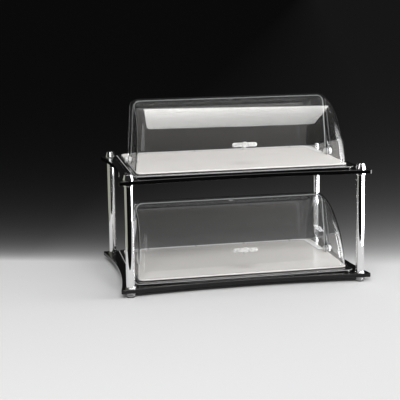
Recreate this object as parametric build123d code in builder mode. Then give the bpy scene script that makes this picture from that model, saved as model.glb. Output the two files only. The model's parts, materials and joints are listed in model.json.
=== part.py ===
"""Two-tier countertop bread display bin, millimetres, +Z up, origin on the table at its centre.

Two black plates stand on four tie-rod posts. Each plate carries a clear base with a white deck,
a fixed clear rear shell and a clear roll-top lid that turns back over the shell.
"""
from build123d import *
import math
import os

os.makedirs("parts", exist_ok=True)

# ---- fixed rear shell: its size drives everything round it ----------------------------------
shell_radius = 152.5           # outside of the fixed rear shell
shell_half_x = 264.3           # outside of its end walls at the pivot
shell_taper = 0.062            # end walls draw in by this much of the distance from the pivot
shell_thickness = 2.5
shell_corner = 19.0
shell_ear = 12.5               # rounded ear round the pivot
shell_foot_width = 10.0        # inward foot that sits on the deck
shell_foot_start = 20.0        # how far behind the pivot the foot begins

# ---- clear base and white deck --------------------------------------------------------------
deck_overhang_x = 8.0          # deck past the shell's end walls
deck_overhang_y = 6.0          # deck past the shell's back, and the same at the front
deck_thickness = 3.0
deck_corner_radius = 14.0
deck_chamfer = 0.6
deck_margin = 0.7              # platform beyond the deck
base_overhang_x = 9.5          # base rim past the lid's ends
base_overhang_y = 24.0         # base rim past the lid's front and the shell's back
base_corner_radius = 14.0
base_rim_height = 7.0
base_step = 1.5                # platform above the rim
base_wall = 3.0
base_round = 2.0
base_screw_x = 205.0
base_screw_y = 110.0
base_screw_diameter = 4.0
base_screw_head = 8.0
base_screw_bite = 5.5          # thread length inside the base boss
base_boss_diameter = 12.0
screw_clearance = 0.25         # radial, in plates and lid

# ---- lid ------------------------------------------------------------------------------------
lid_shell_gap = 2.0            # radial gap between lid and rear shell
lid_side_room = 9.2            # lid's outside past the shell's, at pivot height
lid_draft = 0.09               # end walls lean in with height
lid_thickness = 2.5
lid_corner = 21.0
lid_deck_gap = 0.6             # under the closed lid
lid_ear_gap = 1.5              # under the ears round the pivots
lid_hub_inset = 0.5            # hub inside its ear, radial
lid_hub_thickness = 4.8
lid_overlap_angle = 14.0       # closed lid past the top, degrees

# ---- pivots ---------------------------------------------------------------------------------
pivot_above_deck = 9.5
pin_diameter = 6.0
pin_head_diameter = 13.0
pin_head_height = 2.6
pin_head_round = 1.5
pin_fit = 0.05                 # radial running fit in the lid
pin_hole_clearance = 0.1       # radial, in shell, spacer and knob
spacer_diameter = 16.0
side_gap = 0.3                 # end play on each side of the lid hub
knob_diameter = 17.0
knob_length = 7.5
knob_roof = 2.5
knob_round = 2.5
knob_flutes = 12
knob_flute_diameter = 2.4

# ---- handle and stop ------------------------------------------------------------------------
handle_angle = 17.5            # above the horizontal through the pivot, degrees
handle_length = 64.0
handle_width = 11.0
handle_thickness = 5.0
handle_round = 2.0
handle_standoff = 9.0          # lid surface to the back of the bar
handle_boss_diameter = 15.0
handle_boss_proud = 1.2
handle_boss_round = 1.0
handle_dimple_spacing = 52.0
handle_dimple_diameter = 3.6
handle_dimple_depth = 0.6
seat_gap = 0.2                 # flat boss or head against the curved sheet
handle_screw_diameter = 4.0
handle_screw_head = 9.0
handle_screw_head_height = 3.0
handle_screw_bite = 10.0
bumper_diameter = 12.0
bumper_setback = 1.5           # bumper centre ahead of the shell's front edge
bumper_under = 3.0             # below the sheet
bumper_lid_gap = 0.6           # between the bumper's top and the lid
bumper_round = 1.0
bumper_slot_gap = 0.05

# ---- rivets that hold shell and deck to the base -------------------------------------------
rivet_diameter = 4.0
rivet_head_diameter = 7.0
rivet_head_height = 1.2
rivet_head_chamfer = 0.5
rivet_clearance = 0.1
rivet_inner_x = 69.0
rivet_outer_x = 204.0

# ---- plates ---------------------------------------------------------------------------------
plate_overhang_x = 41.0        # corner tips past the clear base
plate_overhang_y = 22.0
plate_end_sag = 20.0           # how far the short edges curve in
plate_front_sag = 20.0         # how far the long edges curve in
plate_tip_radius = 4.0
plate_thickness = 10.0
plate_edge_chamfer = 0.6
tier_gap = 261.0               # clear height between the two plates

# ---- posts and feet -------------------------------------------------------------------------
post_inset_x = 26.0            # post centres in from the corner tips
post_inset_y = 17.0
post_diameter = 22.0
post_wall = 1.5
collar_overlap = 2.5           # radial, collar past the tube
collar_height = 3.5
collar_seat = 1.5              # how deep a tube end stands in its collar
collar_chamfer = 0.7
rod_diameter = 8.0
rod_chamfer = 0.8
rod_clearance = 0.2            # radial, through plates and collars
thread_clearance = 0.05        # radial, in feet, finials and bosses
pad_diameter = 20.0
pad_height = 3.0
pad_chamfer = 0.8
foot_diameter = 26.0
foot_height = 9.5
foot_chamfer = 1.2
foot_groove_height = 1.6
foot_groove_depth = 1.5
foot_groove_level = 4.4         # underside of the foot to the groove
foot_floor = 2.0               # metal left under the rod
finial_base_diameter = 28.0
finial_top_diameter = 20.5
finial_height = 15.0
finial_rim = 2.0
finial_roof = 6.0              # metal left above the rod
finial_round = 0.8

# ---- heights above each plate ---------------------------------------------------------------
platform_height = base_rim_height + base_step
deck_top = platform_height + deck_thickness
pivot_height = deck_top + pivot_above_deck
foot_flange_top = deck_top + shell_thickness
drill_length = foot_flange_top + rivet_head_height

# ---- levels above the table -----------------------------------------------------------------
lower_plate_bottom = pad_height + foot_height
lower_plate_top = lower_plate_bottom + plate_thickness
upper_plate_bottom = lower_plate_top + tier_gap
upper_plate_top = upper_plate_bottom + plate_thickness

# ---- sizes that follow ----------------------------------------------------------------------
shell_inner_radius = shell_radius - shell_thickness
lid_inner_radius = shell_radius + lid_shell_gap
lid_radius = lid_inner_radius + lid_thickness
lid_half_x = shell_half_x + lid_side_room
lid_ear = pivot_above_deck - lid_ear_gap
hub_outer_x = lid_half_x + lid_draft * knob_diameter / 2
hub_inner_x = hub_outer_x - lid_hub_thickness
deck_half_x = shell_half_x + deck_overhang_x
deck_half_y = shell_radius + deck_overhang_y
base_half_x = lid_half_x + base_overhang_x
base_half_y = lid_radius + base_overhang_y
plate_tip_x = base_half_x + plate_overhang_x
plate_tip_y = base_half_y + plate_overhang_y
post_x = plate_tip_x - post_inset_x
post_y = plate_tip_y - post_inset_y
reach = lid_radius + lid_half_x   # longer than anything it cuts

corners = {
    "front_left": (-post_x, -post_y),
    "front_right": (post_x, -post_y),
    "rear_left": (-post_x, post_y),
    "rear_right": (post_x, post_y),
}
tiers = {
    "lower": (lower_plate_bottom, lower_plate_top),
    "upper": (upper_plate_bottom, upper_plate_top),
}
sides = {"left": -1, "right": 1}


def save(builder, name):
    """Label one finished sub-part and write it."""
    builder.part.label = name
    export_step(builder.part, f"parts/{name}.step")


# ---- frame: plates, posts, feet -----------------------------------------------------------
def make_plate(name, bottom):
    with BuildPart() as plate:
        with BuildSketch(Plane.XY.offset(bottom)) as outline:
            with BuildLine():
                ThreePointArc((-plate_tip_x, -plate_tip_y), (0, plate_front_sag - plate_tip_y),
                              (plate_tip_x, -plate_tip_y))
                ThreePointArc((plate_tip_x, -plate_tip_y), (plate_tip_x - plate_end_sag, 0),
                              (plate_tip_x, plate_tip_y))
                ThreePointArc((plate_tip_x, plate_tip_y), (0, plate_tip_y - plate_front_sag),
                              (-plate_tip_x, plate_tip_y))
                ThreePointArc((-plate_tip_x, plate_tip_y), (plate_end_sag - plate_tip_x, 0),
                              (-plate_tip_x, -plate_tip_y))
            make_face()
            fillet(outline.vertices(), plate_tip_radius)
        extrude(amount=plate_thickness)
        chamfer(plate.edges().group_by(Axis.Z)[-1], plate_edge_chamfer)
        chamfer(plate.edges().group_by(Axis.Z)[0], plate_edge_chamfer)
        with BuildSketch(Plane.XY.offset(bottom)):
            with GridLocations(2 * post_x, 2 * post_y, 2, 2):
                Circle(rod_diameter / 2 + rod_clearance)
            with GridLocations(2 * base_screw_x, 2 * base_screw_y, 2, 2):
                Circle(base_screw_diameter / 2 + screw_clearance)
        extrude(amount=plate_thickness, mode=Mode.SUBTRACT)
        sink = (base_screw_head - base_screw_diameter) / 2
        with BuildSketch(Plane.XY.offset(bottom)):
            with GridLocations(2 * base_screw_x, 2 * base_screw_y, 2, 2):
                Circle(base_screw_head / 2 + screw_clearance)
        extrude(amount=sink, taper=45, mode=Mode.SUBTRACT)
    save(plate, name)


def make_post_set(corner, x, y):
    """One post: pad, foot, rod, two collars, tube and finial on a shared axis."""
    def level(z):
        return Plane((x, y, z))

    rod_bottom = pad_height + foot_floor
    rod_top = upper_plate_top + finial_height - finial_roof

    with BuildPart() as pad:
        with BuildSketch(level(0)):
            Circle(pad_diameter / 2)
        extrude(amount=pad_height)
        chamfer(pad.edges().group_by(Axis.Z)[0], pad_chamfer)
    save(pad, f"{corner}_foot_pad")

    with BuildPart() as foot:
        with BuildSketch(level(pad_height)):
            Circle(foot_diameter / 2)
        extrude(amount=foot_height)
        chamfer(foot.edges().group_by(Axis.Z)[0], foot_chamfer)
        with BuildSketch(level(pad_height + foot_groove_level)):
            Circle(foot_diameter / 2)
            Circle(foot_diameter / 2 - foot_groove_depth, mode=Mode.SUBTRACT)
        extrude(amount=foot_groove_height, mode=Mode.SUBTRACT)
        with BuildSketch(level(rod_bottom)):
            Circle(rod_diameter / 2 + thread_clearance)
        extrude(amount=foot_height - foot_floor, mode=Mode.SUBTRACT)
    save(foot, f"{corner}_foot")

    with BuildPart() as rod:
        with BuildSketch(level(rod_bottom)):
            Circle(rod_diameter / 2)
        extrude(amount=rod_top - rod_bottom)
        chamfer(rod.edges().group_by(Axis.Z)[-1], rod_chamfer)
    save(rod, f"{corner}_tie_rod")

    tube_bottom = lower_plate_top + collar_height - collar_seat
    tube_top = upper_plate_bottom - collar_height + collar_seat
    with BuildPart() as tube:
        with BuildSketch(level(tube_bottom)):
            Circle(post_diameter / 2)
            Circle(post_diameter / 2 - post_wall, mode=Mode.SUBTRACT)
        extrude(amount=tube_top - tube_bottom)
    save(tube, f"{corner}_post")

    # each collar is a turned ring: (name, plate face, direction away from that face)
    for end, face, up in (("lower", lower_plate_top, 1), ("upper", upper_plate_bottom, -1)):
        seat = face + up * collar_height
        with BuildPart() as collar:
            with BuildSketch(Plane((x, y, face), x_dir=(1, 0, 0), z_dir=(0, 0, up))):
                Circle(post_diameter / 2 + collar_overlap)
                Circle(rod_diameter / 2 + rod_clearance, mode=Mode.SUBTRACT)
            extrude(amount=collar_height)
            rims = collar.edges().filter_by(GeomType.CIRCLE).sort_by(SortBy.RADIUS)[-2:]
            chamfer(rims.sort_by(Axis.Z)[-1 if up > 0 else 0], collar_chamfer)
            with BuildSketch(Plane((x, y, seat), x_dir=(1, 0, 0), z_dir=(0, 0, up))):
                Circle(post_diameter / 2 + thread_clearance)
            extrude(amount=-collar_seat, mode=Mode.SUBTRACT)
        save(collar, f"{corner}_{end}_collar")

    with BuildPart() as finial:
        with BuildSketch(Plane((x, y, upper_plate_top), x_dir=(1, 0, 0), z_dir=(0, -1, 0))) as half:
            with BuildLine():
                Polyline(
                    (0, 0),
                    (finial_base_diameter / 2, 0),
                    (finial_base_diameter / 2, finial_rim),
                    (finial_top_diameter / 2, finial_height),
                    (0, finial_height),
                    close=True,
                )
            make_face()
            fillet(half.vertices().group_by(Axis.Y)[-1].sort_by(Axis.X)[-1], finial_round)
        revolve(axis=Axis((x, y, 0), (0, 0, 1)))
        with BuildSketch(level(upper_plate_top)):
            Circle(rod_diameter / 2 + thread_clearance)
        extrude(amount=finial_height - finial_roof, mode=Mode.SUBTRACT)
    save(finial, f"{corner}_finial")


# ---- clear base, white deck and their fixings ----------------------------------------------
def make_base(tier, plate_top):
    with BuildPart() as base:
        with BuildSketch(Plane.XY.offset(plate_top)):
            RectangleRounded(2 * base_half_x, 2 * base_half_y, base_corner_radius)
        extrude(amount=base_rim_height)
        fillet(base.edges().group_by(Axis.Z)[-1], base_round)
        with BuildSketch(Plane.XY.offset(plate_top + base_rim_height)):
            RectangleRounded(2 * (deck_half_x + deck_margin), 2 * (deck_half_y + deck_margin),
                             deck_corner_radius + deck_margin)
        extrude(amount=base_step)
        with BuildSketch(Plane.XY.offset(plate_top)):
            RectangleRounded(2 * (base_half_x - base_wall), 2 * (base_half_y - base_wall),
                             base_corner_radius - base_wall)
        extrude(amount=base_rim_height - base_wall, mode=Mode.SUBTRACT)
        with BuildSketch(Plane.XY.offset(plate_top)):
            with GridLocations(2 * base_screw_x, 2 * base_screw_y, 2, 2):
                Circle(base_boss_diameter / 2)
        extrude(amount=base_rim_height - base_wall)
        with BuildSketch(Plane.XY.offset(plate_top)):
            with GridLocations(2 * base_screw_x, 2 * base_screw_y, 2, 2):
                Circle(base_screw_diameter / 2 + thread_clearance)
        extrude(amount=base_screw_bite, mode=Mode.SUBTRACT)
        extrude(rivet_holes(plate_top), amount=drill_length, mode=Mode.SUBTRACT)
    save(base, f"{tier}_hood_base")


def rivet_points():
    """Rivet centres on the rear shell's foot, along the back."""
    foot_middle = shell_inner_radius - shell_foot_width / 2
    return [(side * x, foot_middle) for x in (rivet_inner_x, rivet_outer_x) for side in (-1, 1)]


def rivet_holes(plate_top):
    with BuildSketch(Plane.XY.offset(plate_top)) as holes:
        with Locations(*rivet_points()):
            Circle(rivet_diameter / 2 + rivet_clearance)
    return holes.sketch


def make_deck(tier, plate_top):
    with BuildPart() as deck:
        with BuildSketch(Plane.XY.offset(plate_top + platform_height)):
            RectangleRounded(2 * deck_half_x, 2 * deck_half_y, deck_corner_radius)
        extrude(amount=deck_thickness)
        chamfer(deck.edges().group_by(Axis.Z)[-1], deck_chamfer)
        extrude(rivet_holes(plate_top), amount=drill_length, mode=Mode.SUBTRACT)
    save(deck, f"{tier}_deck_panel")


def make_base_screws(tier, plate_bottom, plate_top):
    sink = (base_screw_head - base_screw_diameter) / 2
    with BuildPart() as screws:
        with BuildSketch(Plane.XY.offset(plate_bottom)):
            with GridLocations(2 * base_screw_x, 2 * base_screw_y, 2, 2):
                Circle(base_screw_diameter / 2)
        extrude(amount=plate_thickness + base_screw_bite)
        with BuildSketch(Plane.XY.offset(plate_bottom)):
            with GridLocations(2 * base_screw_x, 2 * base_screw_y, 2, 2):
                Circle(base_screw_head / 2)
        extrude(amount=sink, taper=45)
    save(screws, f"{tier}_base_screws")


def make_rivets(tier, plate_top):
    shank_bottom = base_rim_height - base_wall
    with BuildPart() as rivets:
        with BuildSketch(Plane.XY.offset(plate_top + shank_bottom)):
            with Locations(*rivet_points()):
                Circle(rivet_diameter / 2)
        extrude(amount=foot_flange_top - shank_bottom)
        with BuildSketch(Plane.XY.offset(plate_top + foot_flange_top)):
            with Locations(*rivet_points()):
                Circle(rivet_head_diameter / 2)
        extrude(amount=rivet_head_height)
        chamfer(rivets.edges().group_by(Axis.Z)[-1], rivet_head_chamfer)
    save(rivets, f"{tier}_shell_rivets")


# ---- hood ----------------------------------------------------------------------------------
def drum_profile(pivot_z, radius, half_x, corner):
    """Half section of the rear shell's drum, drawn above the pivot axis."""
    end_x = half_x - shell_taper * (radius - shell_ear)
    with BuildSketch(Plane((0, 0, pivot_z), x_dir=(1, 0, 0), z_dir=(0, -1, 0))) as section:
        with BuildLine():
            Polyline(
                (-half_x, 0), (half_x, 0), (half_x, shell_ear),
                (end_x, radius), (-end_x, radius), (-half_x, shell_ear),
                close=True,
            )
        make_face()
        fillet(section.vertices().group_by(Axis.Y)[-1], corner)
    return section.sketch


def make_rear_shell(tier, plate_top):
    pivot_z = plate_top + pivot_height
    axis = Axis((0, 0, pivot_z), (1, 0, 0))
    inner_half_x = shell_half_x - shell_thickness
    inner_corner = shell_corner - shell_thickness
    hollow = drum_profile(pivot_z, shell_inner_radius, inner_half_x, inner_corner)
    foot_inside = drum_profile(pivot_z, shell_inner_radius - shell_foot_width,
                               inner_half_x - shell_foot_width, inner_corner)
    with BuildPart() as shell:
        revolve(drum_profile(pivot_z, shell_radius, shell_half_x, shell_corner), axis=axis)
        with BuildSketch(Plane((-reach, 0, plate_top + deck_top), x_dir=(0, 1, 0), z_dir=(1, 0, 0))):
            Rectangle(reach, reach, align=(Align.MIN, Align.MIN))
            with Locations((0, pivot_height - deck_top)):
                Circle(shell_ear)
            Rectangle(reach, reach, align=(Align.CENTER, Align.MAX), mode=Mode.SUBTRACT)
        extrude(amount=2 * reach, mode=Mode.INTERSECT)
        revolve(hollow, axis=axis, mode=Mode.SUBTRACT)
    with BuildPart() as foot:
        revolve(hollow, axis=axis)
        with BuildSketch(Plane.XY.offset(plate_top + deck_top)):
            with Locations((0, shell_foot_start)):
                Rectangle(2 * reach, reach, align=(Align.CENTER, Align.MIN))
        extrude(amount=shell_thickness, mode=Mode.INTERSECT)
        revolve(foot_inside, axis=axis, mode=Mode.SUBTRACT)
        extrude(rivet_holes(plate_top), amount=drill_length, mode=Mode.SUBTRACT)
    with BuildPart() as rear_shell:
        add(shell.part)
        add(foot.part)
        with BuildSketch(Plane((-reach, 0, pivot_z), x_dir=(0, 1, 0), z_dir=(1, 0, 0))):
            Circle(pin_diameter / 2 + pin_hole_clearance)
        extrude(amount=2 * reach, mode=Mode.SUBTRACT)
    save(rear_shell, f"{tier}_rear_shell")


def drafted_drum(pivot_z, radius, half_x, corner):
    """A drum on the pivot axis whose flat ends lean in with height."""
    lean = lid_draft * reach
    with BuildPart() as drum:
        with BuildSketch(Plane((-reach, 0, pivot_z), x_dir=(0, 1, 0), z_dir=(1, 0, 0))):
            Circle(radius)
        extrude(amount=2 * reach)
        with BuildSketch(Plane((0, -reach, pivot_z), x_dir=(1, 0, 0), z_dir=(0, -1, 0))):
            with BuildLine():
                Polyline(
                    (-half_x - lean, -reach), (half_x + lean, -reach),
                    (half_x - lean, reach), (-half_x + lean, reach),
                    close=True,
                )
            make_face()
        extrude(amount=-2 * reach, mode=Mode.INTERSECT)
        fillet(drum.edges().filter_by(GeomType.ELLIPSE), corner)
    return drum.part


def make_lid(tier, plate_top):
    pivot_z = plate_top + pivot_height
    outside = drafted_drum(pivot_z, lid_radius, lid_half_x, lid_corner)
    inside = drafted_drum(pivot_z, lid_inner_radius, lid_half_x - lid_thickness,
                          lid_corner - lid_thickness)
    lower_edge = lid_deck_gap - pivot_above_deck
    overlap = math.radians(lid_overlap_angle)
    with BuildPart() as lid:
        add(outside)
        add(inside, mode=Mode.SUBTRACT)
        for side in sides.values():
            with BuildSketch(Plane((side * hub_inner_x, 0, pivot_z), x_dir=(0, 1, 0), z_dir=(side, 0, 0))):
                Circle(lid_ear - lid_hub_inset)
            extrude(amount=lid_hub_thickness)
        with BuildSketch(Plane((-reach, 0, pivot_z), x_dir=(0, 1, 0), z_dir=(1, 0, 0))):
            with BuildLine():
                Polyline(
                    (0, 0), (reach * math.sin(overlap), reach * math.cos(overlap)),
                    (-reach, reach), (-reach, lower_edge), (0, lower_edge),
                    close=True,
                )
            make_face()
            Circle(lid_ear)
        extrude(amount=2 * reach, mode=Mode.INTERSECT)
        with BuildSketch(Plane((-reach, 0, pivot_z), x_dir=(0, 1, 0), z_dir=(1, 0, 0))):
            Circle(pin_diameter / 2 + pin_fit)
        extrude(amount=2 * reach, mode=Mode.SUBTRACT)
        with BuildSketch(handle_plane(plate_top, lid_inner_radius - lid_thickness)):
            Circle(handle_screw_diameter / 2 + screw_clearance)
        extrude(amount=3 * lid_thickness, mode=Mode.SUBTRACT)
    save(lid, f"{tier}_lid")


# ---- pivots ---------------------------------------------------------------------------------
def make_pivot(tier, plate_top, side_name, side):
    pivot_z = plate_top + pivot_height

    def across(x):
        return Plane((side * x, 0, pivot_z), x_dir=(0, 1, 0), z_dir=(side, 0, 0))

    shell_inside = shell_half_x - shell_thickness
    knob_face = hub_outer_x + side_gap
    pin_end = knob_face + knob_length - knob_roof
    with BuildPart() as pin:
        with BuildSketch(across(shell_inside - pin_head_height)):
            Circle(pin_head_diameter / 2)
        extrude(amount=pin_head_height)
        inner_rim = pin.edges().sort_by(Axis.X)[0 if side > 0 else -1]
        fillet(inner_rim, pin_head_round)
        with BuildSketch(across(shell_inside)):
            Circle(pin_diameter / 2)
        extrude(amount=pin_end - shell_inside)
    save(pin, f"{tier}_{side_name}_pivot_pin")

    with BuildPart() as knob:
        with BuildSketch(across(knob_face)):
            Circle(knob_diameter / 2)
        extrude(amount=knob_length)
        outer_rim = knob.edges().sort_by(Axis.X)[-1 if side > 0 else 0]
        fillet(outer_rim, knob_round)
        with BuildSketch(across(knob_face)):
            with PolarLocations(knob_diameter / 2, knob_flutes):
                Circle(knob_flute_diameter / 2)
        extrude(amount=knob_length, mode=Mode.SUBTRACT)
        with BuildSketch(across(knob_face)):
            Circle(pin_diameter / 2 + pin_hole_clearance)
        extrude(amount=knob_length - knob_roof, mode=Mode.SUBTRACT)
    save(knob, f"{tier}_{side_name}_pivot_knob")


def make_spacers(tier, plate_top):
    """A spacer on each pin keeps the lid clear of the shell's tapered ends."""
    pivot_z = plate_top + pivot_height
    with BuildPart() as spacers:
        for side in sides.values():
            with BuildSketch(Plane((side * shell_half_x, 0, pivot_z), x_dir=(0, 1, 0), z_dir=(side, 0, 0))):
                Circle(spacer_diameter / 2)
                Circle(pin_diameter / 2 + pin_hole_clearance, mode=Mode.SUBTRACT)
            extrude(amount=hub_inner_x - side_gap - shell_half_x)
    save(spacers, f"{tier}_pivot_spacers")


# ---- handle and its stop --------------------------------------------------------------------
def handle_plane(plate_top, radius):
    """A plane square to the lid at the handle, this far from the pivot axis, facing out."""
    angle = math.radians(handle_angle)
    outward = (0, -math.cos(angle), math.sin(angle))
    centre = (0, radius * outward[1], plate_top + pivot_height + radius * outward[2])
    return Plane(centre, x_dir=(1, 0, 0), z_dir=outward)


def make_handle(tier, plate_top):
    bar_back = lid_radius + handle_standoff
    bar_front = bar_back + handle_thickness
    boss_back = lid_radius + seat_gap
    with BuildPart() as handle:
        with BuildSketch(handle_plane(plate_top, bar_back)):
            SlotOverall(handle_length, handle_width)
        extrude(amount=handle_thickness)
        fillet(handle.edges(), handle_round)
        with BuildSketch(handle_plane(plate_top, boss_back)):
            Circle(handle_boss_diameter / 2)
        extrude(amount=bar_front + handle_boss_proud - boss_back)
        fillet(handle.faces().sort_by(Axis.Y)[0].edges(), handle_boss_round)
        with BuildSketch(handle_plane(plate_top, bar_front)):
            with GridLocations(handle_dimple_spacing, 1, 2, 1):
                Circle(handle_dimple_diameter / 2)
        extrude(amount=-handle_dimple_depth, mode=Mode.SUBTRACT)
        with BuildSketch(handle_plane(plate_top, lid_radius)):
            Circle(handle_screw_diameter / 2 + thread_clearance)
        extrude(amount=handle_screw_bite, mode=Mode.SUBTRACT)
    save(handle, f"{tier}_handle")

    with BuildPart() as screw:
        with BuildSketch(handle_plane(plate_top, lid_inner_radius - seat_gap - handle_screw_head_height)):
            Circle(handle_screw_head / 2)
        extrude(amount=handle_screw_head_height)
        with BuildSketch(handle_plane(plate_top, lid_inner_radius - seat_gap)):
            Circle(handle_screw_diameter / 2)
        extrude(amount=lid_thickness + handle_screw_bite)
    save(screw, f"{tier}_handle_screw")


def make_bumper(tier, plate_top):
    """Soft button pushed over the rear shell's front edge, where the open lid comes to rest."""
    pivot_z = plate_top + pivot_height
    bottom = shell_inner_radius - bumper_under
    top = lid_inner_radius - bumper_lid_gap
    with BuildPart() as bumper:
        with BuildSketch(Plane((0, -bumper_setback, pivot_z + bottom))):
            Circle(bumper_diameter / 2)
        extrude(amount=top - bottom)
        fillet(bumper.edges().group_by(Axis.Z)[0], bumper_round)
        with BuildSketch(Plane((-bumper_diameter, 0, pivot_z), x_dir=(0, 1, 0), z_dir=(1, 0, 0))):
            Circle(shell_radius + bumper_slot_gap)
            Circle(shell_inner_radius - bumper_slot_gap, mode=Mode.SUBTRACT)
            with Locations((-bumper_slot_gap, 0)):
                Rectangle(reach, 2 * reach, align=(Align.MAX, Align.CENTER), mode=Mode.SUBTRACT)
        extrude(amount=2 * bumper_diameter, mode=Mode.SUBTRACT)
    save(bumper, f"{tier}_stop_bumper")


# ---- build everything ------------------------------------------------------------------------
for tier, (plate_bottom, plate_top) in tiers.items():
    make_plate(f"{tier}_plate", plate_bottom)
    make_base(tier, plate_top)
    make_deck(tier, plate_top)
    make_base_screws(tier, plate_bottom, plate_top)
    make_rivets(tier, plate_top)
    make_rear_shell(tier, plate_top)
    make_lid(tier, plate_top)
    make_spacers(tier, plate_top)
    make_handle(tier, plate_top)
    make_bumper(tier, plate_top)
    for side_name, side in sides.items():
        make_pivot(tier, plate_top, side_name, side)

for corner, (x, y) in corners.items():
    make_post_set(corner, x, y)
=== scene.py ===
# %% [markdown]
# # Two-tier bread display bin
# Two polished black plates stand on chrome posts. Each carries a clear base, a white deck and a
# clear hood whose front half rolls back. The imported model already holds every working piece at its
# real size, so this lesson is about looks: finishes, studio light and camera. The first cell loads
# the model.

# %% Load the model
import bpy
import bmesh
import json
import math
from mathutils import Matrix, Vector


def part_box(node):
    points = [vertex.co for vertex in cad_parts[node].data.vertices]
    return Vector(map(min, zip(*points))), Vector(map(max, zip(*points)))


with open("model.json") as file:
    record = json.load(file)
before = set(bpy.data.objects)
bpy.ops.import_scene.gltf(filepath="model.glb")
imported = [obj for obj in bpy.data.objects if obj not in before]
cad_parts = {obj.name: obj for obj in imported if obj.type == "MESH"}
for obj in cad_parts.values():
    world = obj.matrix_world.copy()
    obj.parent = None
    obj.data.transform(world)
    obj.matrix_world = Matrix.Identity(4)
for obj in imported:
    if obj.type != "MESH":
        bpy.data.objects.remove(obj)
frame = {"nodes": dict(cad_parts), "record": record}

scene = bpy.context.scene
nodes = frame["nodes"]
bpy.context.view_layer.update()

# %% [markdown]
# ## Camera
# A display case is usually shown from slightly above and a little to one side, with a long lens that
# keeps the posts upright. The camera is placed by its height, its turn to the right and its tilt
# downwards; its three axes are worked out from those angles, because that keeps every number in a
# unit that can be measured in a studio.

# %% Camera
lens_focal = 95.43            # mm, on a 36 mm sensor
lens_shift = (-0.0375, -0.10)  # shares of the frame's width
camera_place = Vector((-0.6214, -2.7107, 0.7582))
camera_turn = 0.2106          # radians to the right of +Y
camera_tilt = 0.1628          # radians below the horizon
camera_roll = -0.011

camera_data = bpy.data.cameras.new("camera")
camera_data.sensor_width = 36.0
camera_data.lens = lens_focal
camera_data.shift_x, camera_data.shift_y = lens_shift
camera = bpy.data.objects.new("camera", camera_data)
scene.collection.objects.link(camera)
forward = Vector((math.sin(camera_turn) * math.cos(camera_tilt),
                  math.cos(camera_turn) * math.cos(camera_tilt), -math.sin(camera_tilt)))
level_right = Vector((math.cos(camera_turn), -math.sin(camera_turn), 0))
level_up = level_right.cross(forward)
right = math.cos(camera_roll) * level_right + math.sin(camera_roll) * level_up
up = math.cos(camera_roll) * level_up - math.sin(camera_roll) * level_right
camera.matrix_world = Matrix.Translation(camera_place) @ Matrix((right, up, -forward)).transposed().to_4x4()
scene.camera = camera
scene.view_settings.view_transform = "Standard"
print("camera is", round(camera_place.length, 2), "m from the foot of the case")

# %% [markdown]
# ## Small helpers for node trees
# Every finish below is a small node tree. Two helpers keep the cells short: one adds a node and fills
# in its inputs, the other joins two sockets.


# %% Node helpers
def add(tree, kind, inputs=None, **settings):
    node = tree.nodes.new(kind)
    for key, value in settings.items():
        setattr(node, key, value)
    for key, value in (inputs or {}).items():
        node.inputs[key].default_value = value
    return node


def new_material(name):
    material = bpy.data.materials.new(name)
    material.use_nodes = True
    material.node_tree.nodes.clear()
    return material, material.node_tree, material.node_tree.links.new


def new_group(name, inputs, outputs):
    """An empty shader group; inputs and outputs are {socket name: (socket type, default)}."""
    group = bpy.data.node_groups.new(name, "ShaderNodeTree")
    for way, sockets in (("INPUT", inputs), ("OUTPUT", outputs)):
        for socket_name, (kind, default) in sockets.items():
            socket = group.interface.new_socket(socket_name, in_out=way, socket_type=kind)
            if default is not None:
                socket.default_value = default
    return group, group.nodes.new("NodeGroupInput"), group.nodes.new("NodeGroupOutput"), group.links.new


def place_group(tree, group, inputs=None):
    return add(tree, "ShaderNodeGroup", inputs, node_tree=group)


FLOAT, COLOUR = "NodeSocketFloat", "NodeSocketColor"
print("helpers ready")

# %% [markdown]
# ## Shared effects
# Polished plastic and chrome are never perfectly even. Wiping leaves faint soft patches where the
# gloss drops a little, and moulded sheet has a very shallow ripple. The cut edges of clear sheet
# collect light from the whole sheet and look brighter than its faces, which is given here as a painted
# glow, and a sawn panel is duller on its edges. Each of these is a node group that finds the right places
# from the surface's own position and normal, so every finish can use it with its own strength. The groups
# only put out values that change over the surface; the shader itself stays in each material.

# %% Effect: soft patches of changing gloss
patches, patch_in, patch_out, join = new_group(
    "soft_patches",
    {"Size": (FLOAT, 0.08), "Low": (FLOAT, 0.0), "High": (FLOAT, 0.1), "Stretch": (FLOAT, 1.0)},
    {"Value": (FLOAT, None)})
place = add(patches, "ShaderNodeTexCoord")
squeeze = add(patches, "ShaderNodeCombineXYZ", {"X": 1.0, "Y": 1.0})
stretched = add(patches, "ShaderNodeVectorMath", operation="MULTIPLY")
sized = add(patches, "ShaderNodeVectorMath", operation="DIVIDE")
size_3d = add(patches, "ShaderNodeCombineXYZ")
cloud = add(patches, "ShaderNodeTexNoise", {"Scale": 1.0, "Detail": 4.0, "Roughness": 0.55})
spread = add(patches, "ShaderNodeMapRange", {"From Min": 0.3, "From Max": 0.72})
join(patch_in.outputs["Stretch"], squeeze.inputs["Z"])
join(place.outputs["Object"], stretched.inputs[0])
join(squeeze.outputs[0], stretched.inputs[1])
for axis in "XYZ":
    join(patch_in.outputs["Size"], size_3d.inputs[axis])
join(stretched.outputs[0], sized.inputs[0])
join(size_3d.outputs[0], sized.inputs[1])
join(sized.outputs[0], cloud.inputs["Vector"])
join(cloud.outputs["Fac"], spread.inputs["Value"])
join(patch_in.outputs["Low"], spread.inputs["To Min"])
join(patch_in.outputs["High"], spread.inputs["To Max"])
join(spread.outputs["Result"], patch_out.inputs["Value"])
print("soft_patches:", len(patches.nodes), "nodes")

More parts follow.
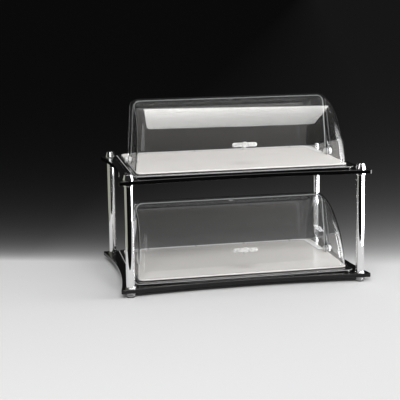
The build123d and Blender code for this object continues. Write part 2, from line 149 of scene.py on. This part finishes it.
# %% Effect: shallow ripple of moulded sheet
ripple, ripple_in, ripple_out, join = new_group(
    "moulded_ripple",
    {"Size": (FLOAT, 0.1), "Depth": (FLOAT, 1.0)},
    {"Height": (FLOAT, None)})
place = add(ripple, "ShaderNodeTexCoord")
size_3d = add(ripple, "ShaderNodeCombineXYZ")
sized = add(ripple, "ShaderNodeVectorMath", operation="DIVIDE")
swell = add(ripple, "ShaderNodeTexNoise", {"Scale": 1.0, "Detail": 1.0, "Roughness": 0.4})
deep = add(ripple, "ShaderNodeMath", operation="MULTIPLY")
for axis in "XYZ":
    join(ripple_in.outputs["Size"], size_3d.inputs[axis])
join(place.outputs["Object"], sized.inputs[0])
join(size_3d.outputs[0], sized.inputs[1])
join(sized.outputs[0], swell.inputs["Vector"])
join(swell.outputs["Fac"], deep.inputs[0])
join(ripple_in.outputs["Depth"], deep.inputs[1])
join(deep.outputs[0], ripple_out.inputs["Height"])
print("moulded_ripple:", len(ripple.nodes), "nodes")

# %% Effect: cut edges of the hood's sheet, with a painted glow
edges, edge_in, edge_out, join = new_group(
    "sheet_edges",
    {"Axis Height": (FLOAT, 0.3), "Sharpness": (FLOAT, 4.0)},
    {"Mask": (FLOAT, None), "Painted Glow": (FLOAT, None)})
place = add(edges, "ShaderNodeTexCoord")
centre = add(edges, "ShaderNodeCombineXYZ")
from_axis = add(edges, "ShaderNodeVectorMath", operation="SUBTRACT")
flat = add(edges, "ShaderNodeVectorMath", {1: (0, 1, 1)}, operation="MULTIPLY")
radial = add(edges, "ShaderNodeVectorMath", operation="NORMALIZE")
along = add(edges, "ShaderNodeVectorMath", {1: (1, 0, 0)}, operation="CROSS_PRODUCT")
facing = add(edges, "ShaderNodeVectorMath", operation="DOT_PRODUCT")
size = add(edges, "ShaderNodeMath", operation="ABSOLUTE")
sharp = add(edges, "ShaderNodeMath", operation="POWER", use_clamp=True)
join(edge_in.outputs["Axis Height"], centre.inputs["Z"])
join(place.outputs["Object"], from_axis.inputs[0])
join(centre.outputs[0], from_axis.inputs[1])
join(from_axis.outputs[0], flat.inputs[0])
join(flat.outputs[0], radial.inputs[0])
join(radial.outputs[0], along.inputs[0])
join(along.outputs[0], facing.inputs[0])
join(place.outputs["Normal"], facing.inputs[1])
join(facing.outputs["Value"], size.inputs[0])
join(size.outputs[0], sharp.inputs[0])
join(edge_in.outputs["Sharpness"], sharp.inputs[1])
join(sharp.outputs[0], edge_out.inputs["Mask"])
# Painted glow: an edge glows where it faces up or sideways, standing in for light carried inside the sheet.
lean = add(edges, "ShaderNodeSeparateXYZ")
not_down = add(edges, "ShaderNodeMapRange", {"From Min": -0.7, "From Max": -0.4})
painted_glow_mask = add(edges, "ShaderNodeMath", operation="MULTIPLY")
join(place.outputs["Normal"], lean.inputs[0])
join(lean.outputs["Z"], not_down.inputs["Value"])
join(sharp.outputs[0], painted_glow_mask.inputs[0])
join(not_down.outputs["Result"], painted_glow_mask.inputs[1])
join(painted_glow_mask.outputs[0], edge_out.inputs["Painted Glow"])
print("sheet_edges:", len(edges.nodes), "nodes")

# %% Effect: upright cut edges of a level panel
sawn, sawn_in, sawn_out, join = new_group("sawn_edges", {"Strength": (FLOAT, 1.0)}, {"Mask": (FLOAT, None)})
place = add(sawn, "ShaderNodeTexCoord")
facing = add(sawn, "ShaderNodeSeparateXYZ")
upward = add(sawn, "ShaderNodeMath", operation="ABSOLUTE")
upright = add(sawn, "ShaderNodeMapRange", {"From Min": 0.2, "From Max": 0.8, "To Max": 0.0})
join(place.outputs["Normal"], facing.inputs[0])
join(facing.outputs["Z"], upward.inputs[0])
join(upward.outputs[0], upright.inputs["Value"])
join(sawn_in.outputs["Strength"], upright.inputs["To Min"])
join(upright.outputs["Result"], sawn_out.inputs["Mask"])
print("sawn_edges:", len(sawn.nodes), "nodes")

# %% Effect: rounded rim of the clear base, with a painted glow
rims, rim_in, rim_out, join = new_group(
    "rim_edges",
    {"Wall": (FLOAT, 0.0)},
    {"Mask": (FLOAT, None), "Painted Glow": (FLOAT, None)})
place = add(rims, "ShaderNodeTexCoord")
facing = add(rims, "ShaderNodeSeparateXYZ")
upward = add(rims, "ShaderNodeMath", operation="ABSOLUTE")
slope = add(rims, "ShaderNodeMapRange", {"From Min": 0.3, "From Max": 0.6}, interpolation_type="SMOOTHSTEP")
not_flat = add(rims, "ShaderNodeMapRange", {"From Min": 0.75, "From Max": 0.99, "To Min": 1.0, "To Max": 0.0},
               interpolation_type="SMOOTHSTEP")
join(place.outputs["Normal"], facing.inputs[0])
join(facing.outputs["Z"], upward.inputs[0])
join(upward.outputs[0], slope.inputs["Value"])
join(upward.outputs[0], not_flat.inputs["Value"])
join(rim_in.outputs["Wall"], slope.inputs["To Min"])
rounded = add(rims, "ShaderNodeMath", operation="MULTIPLY")
join(slope.outputs["Result"], rounded.inputs[0])
join(not_flat.outputs["Result"], rounded.inputs[1])
join(rounded.outputs[0], rim_out.inputs["Mask"])
# The rounded rim also gets a painted glow, an emission that stands in for light carried inside the base.
join(rounded.outputs[0], rim_out.inputs["Painted Glow"])
print("rim_edges:", len(rims.nodes), "nodes")

# %% [markdown]
# ## Clear sheet
# The hoods, bases, rivets and stop buttons are clear moulded plastic. It bends light like glass with
# an index of 1.49. Real plastic lets lamp light through to the deck, so rays that carry light or
# shadow pass straight through a slightly grey transparent shader, which also keeps the deck free of
# noise; only rays that the eye follows are bent and mirrored. A cut edge scatters light that has
# travelled inside the sheet. Tracing that would need far more rays, so the edge is made satin and
# slightly grey, and a painted glow, an emission, stands in for that light where it faces up or sideways.


# %% Finish: clear plastic
clear_tint = (0.985, 0.99, 0.99, 1)
clear_index = 1.49            # how strongly the plastic bends light
clear_passing = 0.965         # share of light that each face lets through
edge_roughness = 0.5


def clear_plastic(name, edge_group, edge_inputs, painted_edge_glow, edge_tint):
    """edge_group marks the cut edges; painted_edge_glow is their painted glow, an emission, and edge_tint
    what passes through them.
    """
    material, tree, join = new_material(name)
    output = add(tree, "ShaderNodeOutputMaterial")
    body = add(tree, "ShaderNodeBsdfPrincipled",
               {"IOR": clear_index, "Transmission Weight": 1.0, "Emission Strength": 1.0})
    gloss = place_group(tree, patches, {"Size": 0.11, "Low": 0.0, "High": 0.02})
    swell = place_group(tree, ripple, {"Size": 0.12, "Depth": 0.2})
    edge = place_group(tree, edge_group, edge_inputs)
    # The edges' painted glow, an emission that stands in for light scattered out of the sheet.
    glow = add(tree, "ShaderNodeMix", {"A": (0, 0, 0, 1), "B": (*painted_edge_glow, 1)}, data_type="RGBA")
    tint = add(tree, "ShaderNodeMix", {"A": clear_tint, "B": (*edge_tint, 1)}, data_type="RGBA")
    bump = add(tree, "ShaderNodeBump", {"Strength": 0.3, "Distance": 0.001})
    through = add(tree, "ShaderNodeBsdfTransparent", {"Color": (clear_passing,) * 3 + (1,)})
    path = add(tree, "ShaderNodeLightPath")
    carries_light = add(tree, "ShaderNodeMath", operation="MAXIMUM")
    mix = add(tree, "ShaderNodeMixShader")
    satin_edge = add(tree, "ShaderNodeMath", {1: edge_roughness}, operation="MULTIPLY")
    rough = add(tree, "ShaderNodeMath", operation="MAXIMUM")
    join(edge.outputs["Mask"], satin_edge.inputs[0])
    join(gloss.outputs["Value"], rough.inputs[0])
    join(satin_edge.outputs[0], rough.inputs[1])
    join(rough.outputs[0], body.inputs["Roughness"])
    join(edge.outputs["Painted Glow"], glow.inputs["Factor"])
    join(glow.outputs[2], body.inputs["Emission Color"])
    join(edge.outputs["Mask"], tint.inputs["Factor"])
    join(tint.outputs[2], body.inputs["Base Color"])
    join(swell.outputs["Height"], bump.inputs["Height"])
    join(bump.outputs["Normal"], body.inputs["Normal"])
    join(path.outputs["Is Shadow Ray"], carries_light.inputs[0])
    join(path.outputs["Is Diffuse Ray"], carries_light.inputs[1])
    join(carries_light.outputs[0], mix.inputs["Fac"])
    join(body.outputs["BSDF"], mix.inputs[1])
    join(through.outputs["BSDF"], mix.inputs[2])
    join(mix.outputs["Shader"], output.inputs["Surface"])
    return material


axis_heights = {tier: sum(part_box(f"{tier}_left_pivot_pin")[k][2] for k in (0, 1)) / 2
                for tier in ("lower", "upper")}
# Colour of the painted glow on the cut edges and the tint they pass, for the hoods and for the base.
hood_painted_glow, hood_edge_tint = (0.30, 0.305, 0.31), (0.6, 0.61, 0.62)
base_painted_glow, base_edge_tint = (0.46, 0.46, 0.465), (0.7, 0.7, 0.71)
hood_clear = {tier: clear_plastic(f"clear_hood_{tier}", edges, {"Axis Height": height},
                                  hood_painted_glow, hood_edge_tint)
              for tier, height in axis_heights.items()}
base_clear = clear_plastic("clear_base", rims, {"Wall": 0.0}, base_painted_glow, base_edge_tint)
print("made clear sheet; hinge axes at", {tier: round(height, 4) for tier, height in axis_heights.items()})

# %% [markdown]
# ## Solid finishes
# Black sheet, white deck, chrome, satin silver, plain steel and rubber all use one Principled shader.
# They differ in colour, metalness and gloss, and the soft patches give each its own unevenness. The
# deck is a sawn panel, so its upright edges are greyer. The handle is cast and brushed, so its colour
# is cloudy at a scale of a few millimetres. The black sheet has the faint swell of cast sheet.


# %% Finish: solid surfaces
def solid_finish(name, colour, low, high, size=0.06, stretch=1.0, metal=0.0, ripple_depth=0.0, ior=1.5,
                 edge_colour=None, cloud_colour=None):
    """low and high are the ends of the roughness range, size and stretch the patches in metres."""
    material, tree, join = new_material(name)
    output = add(tree, "ShaderNodeOutputMaterial")
    body = add(tree, "ShaderNodeBsdfPrincipled",
               {"Base Color": (*colour, 1), "Metallic": metal, "IOR": ior})
    gloss = place_group(tree, patches, {"Size": size, "Low": low, "High": high, "Stretch": stretch})
    join(gloss.outputs["Value"], body.inputs["Roughness"])
    if edge_colour:
        edge = place_group(tree, sawn)
        shade = add(tree, "ShaderNodeMix", {"A": (*colour, 1), "B": (*edge_colour, 1)}, data_type="RGBA")
        join(edge.outputs["Mask"], shade.inputs["Factor"])
        join(shade.outputs[2], body.inputs["Base Color"])
    if cloud_colour:
        cloud = place_group(tree, patches, {"Size": size, "Low": 0.0, "High": 1.0, "Stretch": stretch})
        shade = add(tree, "ShaderNodeMix", {"A": (*colour, 1), "B": (*cloud_colour, 1)}, data_type="RGBA")
        join(cloud.outputs["Value"], shade.inputs["Factor"])
        join(shade.outputs[2], body.inputs["Base Color"])
    if ripple_depth:
        swell = place_group(tree, ripple, {"Size": size, "Depth": ripple_depth})
        bump = add(tree, "ShaderNodeBump", {"Strength": 0.2, "Distance": 0.001})
        join(swell.outputs["Height"], bump.inputs["Height"])
        join(bump.outputs["Normal"], body.inputs["Normal"])
    join(body.outputs["BSDF"], output.inputs["Surface"])
    return material


black = solid_finish("black_acrylic", (0.0015, 0.0015, 0.0016), 0.03, 0.07, size=0.1,
                     ripple_depth=0.1, ior=1.4)
white = solid_finish("white_deck", (0.83, 0.80, 0.77), 0.30, 0.42, size=0.05, edge_colour=(0.72, 0.70, 0.68))
chrome = solid_finish("chrome", (0.86, 0.86, 0.865), 0.02, 0.06, size=0.04, stretch=0.3, metal=1.0)
silver = solid_finish("silver_handle", (0.84, 0.84, 0.82), 0.26, 0.42, size=0.006, metal=0.35,
                      cloud_colour=(0.42, 0.42, 0.41))
satin = solid_finish("satin_knob", (0.78, 0.78, 0.78), 0.28, 0.38, size=0.01, metal=0.6)
steel = solid_finish("steel_fastener", (0.62, 0.62, 0.63), 0.22, 0.35, size=0.01, metal=1.0)
# Darker metal for the feet: painted shade standing in for the shadow around them.
foot_metal = solid_finish("foot_metal", (0.30, 0.30, 0.30), 0.12, 0.28, size=0.01, metal=1.0)
rubber = solid_finish("rubber_pad", (0.06, 0.06, 0.06), 0.6, 0.8, size=0.008)
finishes = {"black_acrylic": black, "clear_plastic": base_clear, "white_deck": white, "chrome": chrome,
            "silver_handle": silver, "steel_fastener": steel, "rubber_pad": rubber}
print("finishes:", sorted(finishes))

# %% [markdown]
# ## Finishes on the imported pieces
# The record names a finish for every piece, so the materials are given out by that list. Three kinds
# of piece need their own version: the hoods have cut edges that turn about their hinge axis, the
# hinge knobs are satin, and the feet get a darker metal than the posts as painted shade for the shadow around
# them.

# %% Give each imported piece its finish
for part in frame["record"]["subparts"]:
    shown = nodes[part["node"]]
    shown.data.materials.clear()
    finish = finishes[part["material_slot"]]
    if part["node"].endswith(("_lid", "_rear_shell")):
        finish = hood_clear[part["node"].split("_")[0]]
    elif "_pivot_" in part["node"]:
        finish = satin
    elif part["node"].endswith("_foot"):
        finish = foot_metal
    shown.data.materials.append(finish)

# %% [markdown]
# ## Floor
# The case stands on a pale table that falls away into a dark room behind it. One large plane does
# both: its colour is pale near and in front of the case and fades with the distance behind it, as
# 1 / (1 + (distance / width) ^ power), in the plane's own coordinates turned to lie square to the
# front view. The pale tone and its fade are a painted pool of light that turns into painted shade
# behind the case, and the floor also has a faint painted glow. The width, tone and glow change a little
# from left to right. Polished metal sees the dark room
# in front of the table's front edge, which gives chrome its black core, so the tone for mirror rays
# stops at that edge. The table itself is quite matt: a gloss would show the studio's lamps in it.

# %% Floor
floor_reach = 400.0
table_front = 0.54            # metres from the middle of the case to the table's front edge
fade_turn = 0.30              # radians that the table's far edge is turned
fade_start = 0.062            # metres behind the case's middle where the fade begins
fade_power = 1.5
side_reach = 0.6              # metres to each side over which the next values change
fade_width = (0.060, 0.190)   # metres, at the left and at the right
table_tone = (0.665, 0.54)
# Painted glow of the floor itself, at the left and at the right.
painted_floor_glow = (0.0031, 0.0079)

floor_mesh = bpy.data.meshes.new("floor")
corners = [(-floor_reach, -floor_reach, 0), (floor_reach, -floor_reach, 0),
           (floor_reach, floor_reach, 0), (-floor_reach, floor_reach, 0)]
floor_mesh.from_pydata(corners, [], [(0, 1, 2, 3)])
floor = bpy.data.objects.new("floor", floor_mesh)
scene.collection.objects.link(floor)

floor_material, tree, join = new_material("floor")
output = add(tree, "ShaderNodeOutputMaterial")
body = add(tree, "ShaderNodeBsdfPrincipled",
           {"Roughness": 0.8, "Specular IOR Level": 0.0, "Emission Strength": 1.0})
place = add(tree, "ShaderNodeTexCoord")
turn = add(tree, "ShaderNodeMapping", {"Rotation": (0, 0, fade_turn)})
axes = add(tree, "ShaderNodeSeparateXYZ")
join(place.outputs["Object"], turn.inputs["Vector"])
join(turn.outputs["Vector"], axes.inputs[0])


def across(ends):
    """A value that changes from the left of the table to its right."""
    share = add(tree, "ShaderNodeMapRange", {"From Min": -side_reach, "From Max": side_reach,
                                             "To Min": ends[0], "To Max": ends[1]})
    join(axes.outputs["X"], share.inputs["Value"])
    return share.outputs["Result"]


def maths(operation, first, second):
    """One Math node; each input is a socket or a number."""
    node = add(tree, "ShaderNodeMath", operation=operation)
    for slot, source in enumerate((first, second)):
        if isinstance(source, (int, float)):
            node.inputs[slot].default_value = source
        else:
            join(source, node.inputs[slot])
    return node.outputs[0]


# Painted pool of light: the tone is pale near the case and fades into painted shade behind it.
behind = maths("MAXIMUM", maths("SUBTRACT", axes.outputs["Y"], fade_start), 0.0)
painted_falloff = maths("POWER", maths("DIVIDE", behind, across(fade_width)), fade_power)
tone = maths("DIVIDE", across(table_tone), maths("ADD", painted_falloff, 1.0))
path = add(tree, "ShaderNodeLightPath")
past_front = maths("LESS_THAN", axes.outputs["Y"], -table_front)
hidden = maths("MULTIPLY", past_front, path.outputs["Is Glossy Ray"])
join(maths("MULTIPLY", tone, maths("SUBTRACT", 1.0, hidden)), body.inputs["Base Color"])
join(across(painted_floor_glow), body.inputs["Emission Color"])
join(body.outputs["BSDF"], output.inputs["Surface"])
floor.data.materials.append(floor_material)
print("floor is", 2 * floor_reach, "m across")

# %% [markdown]
# ## Lights
# Glossy things show their lamps, matt things only show how much light falls on them. The two jobs are
# split here. Five glowing sheets are seen only in mirrors: a wide one overhead is the pale panel in
# the upper hood, a tall one close at the right with a narrow strip beside it draws the white stripe
# down each post and along the hood's corner, a dim one at the left draws the posts' grey stripe, and
# a sheet at the front left draws the soft band in the hood's left corner. A lid turns each height on
# the right sheet into its own part of the corner, so its left edge leans away with height; the strip
# fills in what the upper lid alone should show. Three soft lamps, overhead, in front and at the
# right, light the decks and the table and are not mirrored. The world fills the shadows of matt
# surfaces and stays dark in mirrors.

# %% Lights
overhead_height = 1.76
overhead_outline = (
    (-0.027, 0.630), (-0.045, 0.237), (-0.049, -0.069), (-0.044, -0.347), (-0.031, -0.624), (-0.011, -0.711),
    (0.248, -0.750), (0.560, -0.791), (0.660, -0.781), (0.647, -0.556), (0.643, -0.343), (0.650, -0.129),
    (0.667, 0.098), (0.700, 0.357), (0.515, 0.421), (0.333, 0.488), (0.152, 0.557))
# Corners of the right sheet and of the narrow strip beside it, as (x, height)
right_outline = (
    (0.87, 0.02), (0.87, 1.4), (0.66, 1.4), (0.545, 1.03), (0.503, 0.86), (0.481, 0.77), (0.463, 0.68),
    (0.450, 0.62), (0.437, 0.55), (0.426, 0.49), (0.414, 0.44), (0.41, 0.40), (0.41, 0.02))
strip_outline = (
    (0.392, 0.56), (0.404, 0.56), (0.421, 0.68), (0.442, 0.81), (0.479, 0.97), (0.503, 1.06),
    (0.490, 1.06), (0.465, 0.97), (0.428, 0.81), (0.407, 0.68))
right_line = 0.93             # both stand on the line x - y = 0.93
right_radiance = 17.0
right_fade = ((1.14, 1.14, 1.0), 0.275, 1.275)
overhead_fade = ((0.25, -0.25, 0), 0, 1)
left_outline = ((-0.85, 0.7, 0.0), (-0.75, -0.43, 0.0), (-0.75, -0.43, 0.42), (-0.85, 0.7, 0.42))
front_left_outline = ((-1.62, -0.85, 0.95), (-0.36, -1.6, 0.95), (-0.28, -0.5, 1.7), (-0.58, -0.2, 1.7))


def panel(name, corners, colour, radiance, fade=None, through_plastic=False):
    """A glowing sheet seen only in mirrors, and if wanted through the clear plastic.

    fade is (direction, start, end): its brightness falls from start to end, in metres."""
    mesh = bpy.data.meshes.new(name)
    mesh.from_pydata(corners, [], [range(len(corners))])
    sheet = bpy.data.objects.new(name, mesh)
    scene.collection.objects.link(sheet)
    sheet.visible_camera = sheet.visible_diffuse = sheet.visible_shadow = False
    sheet.visible_transmission = through_plastic
    material, tree, join = new_material(name)
    glow = add(tree, "ShaderNodeEmission", {"Color": (*colour, 1), "Strength": radiance})
    output = add(tree, "ShaderNodeOutputMaterial")
    if fade:
        place = add(tree, "ShaderNodeTexCoord")
        direction, start, end = fade
        along = add(tree, "ShaderNodeVectorMath", {1: direction}, operation="DOT_PRODUCT")
        share = add(tree, "ShaderNodeMapRange", {"From Min": start, "From Max": end,
                                                 "To Min": radiance, "To Max": 0.0})
        join(place.outputs["Object"], along.inputs[0])
        join(along.outputs["Value"], share.inputs["Value"])
        join(share.outputs["Result"], glow.inputs["Strength"])
    join(glow.outputs[0], output.inputs["Surface"])
    sheet.data.materials.append(material)


panel("overhead_softbox", [(x, y, overhead_height) for x, y in overhead_outline], (1, 0.99, 0.97), 6.6,
      fade=overhead_fade, through_plastic=True)
for name, outline in (("right_softbox", right_outline), ("right_strip", strip_outline)):
    panel(name, [(x, x - right_line, z) for x, z in outline], (0.98, 0.98, 1.0), right_radiance,
          fade=right_fade)
panel("left_reflector", left_outline, (0.98, 1.0, 0.84), 0.36)
panel("front_left_sheet", front_left_outline, (1, 1, 1), 2.3)


def fill_lamp(name, place, aim, width, height, radiance):
    """A soft lamp that lights matt surfaces and is not mirrored; its radiance is that of its cloth."""
    lamp_data = bpy.data.lights.new(name, "AREA")
    lamp_data.shape = "RECTANGLE"
    lamp_data.size, lamp_data.size_y = width, height
    lamp_data.energy = radiance * math.pi * width * height
    lamp = bpy.data.objects.new(name, lamp_data)
    lamp.location = place
    lamp.rotation_euler = (Vector(aim) - Vector(place)).to_track_quat("-Z", "Y").to_euler()
    lamp.visible_camera = lamp.visible_glossy = lamp.visible_transmission = False
    scene.collection.objects.link(lamp)


fill_lamp("overhead_fill", (0.30, -0.15, overhead_height), (0, 0, 0.2), 0.7, 1.2, 1.75)
fill_lamp("front_fill", (-0.6, -3.0, 2.6), (0, 0, 0.1), 2.6, 1.2, 13.3)
fill_lamp("right_fill", (1.3, -0.6, 0.85), (0, 0, 0.2), 1.2, 0.6, 4.9)

room_in_mirrors, room_on_matt = 0.02, 0.36  # strength of the room's own light

world = bpy.data.worlds.new("room")
scene.world = world
world.use_nodes = True
world.node_tree.nodes.clear()
tree, join = world.node_tree, world.node_tree.links.new
path = add(tree, "ShaderNodeLightPath")
level = add(tree, "ShaderNodeMapRange", {"To Min": room_in_mirrors, "To Max": room_on_matt})
room = add(tree, "ShaderNodeBackground", {"Color": (1, 1, 1, 1)})
output = add(tree, "ShaderNodeOutputWorld")
join(path.outputs["Is Diffuse Ray"], level.inputs["Value"])
join(level.outputs["Result"], room.inputs["Strength"])
join(room.outputs[0], output.inputs["Surface"])
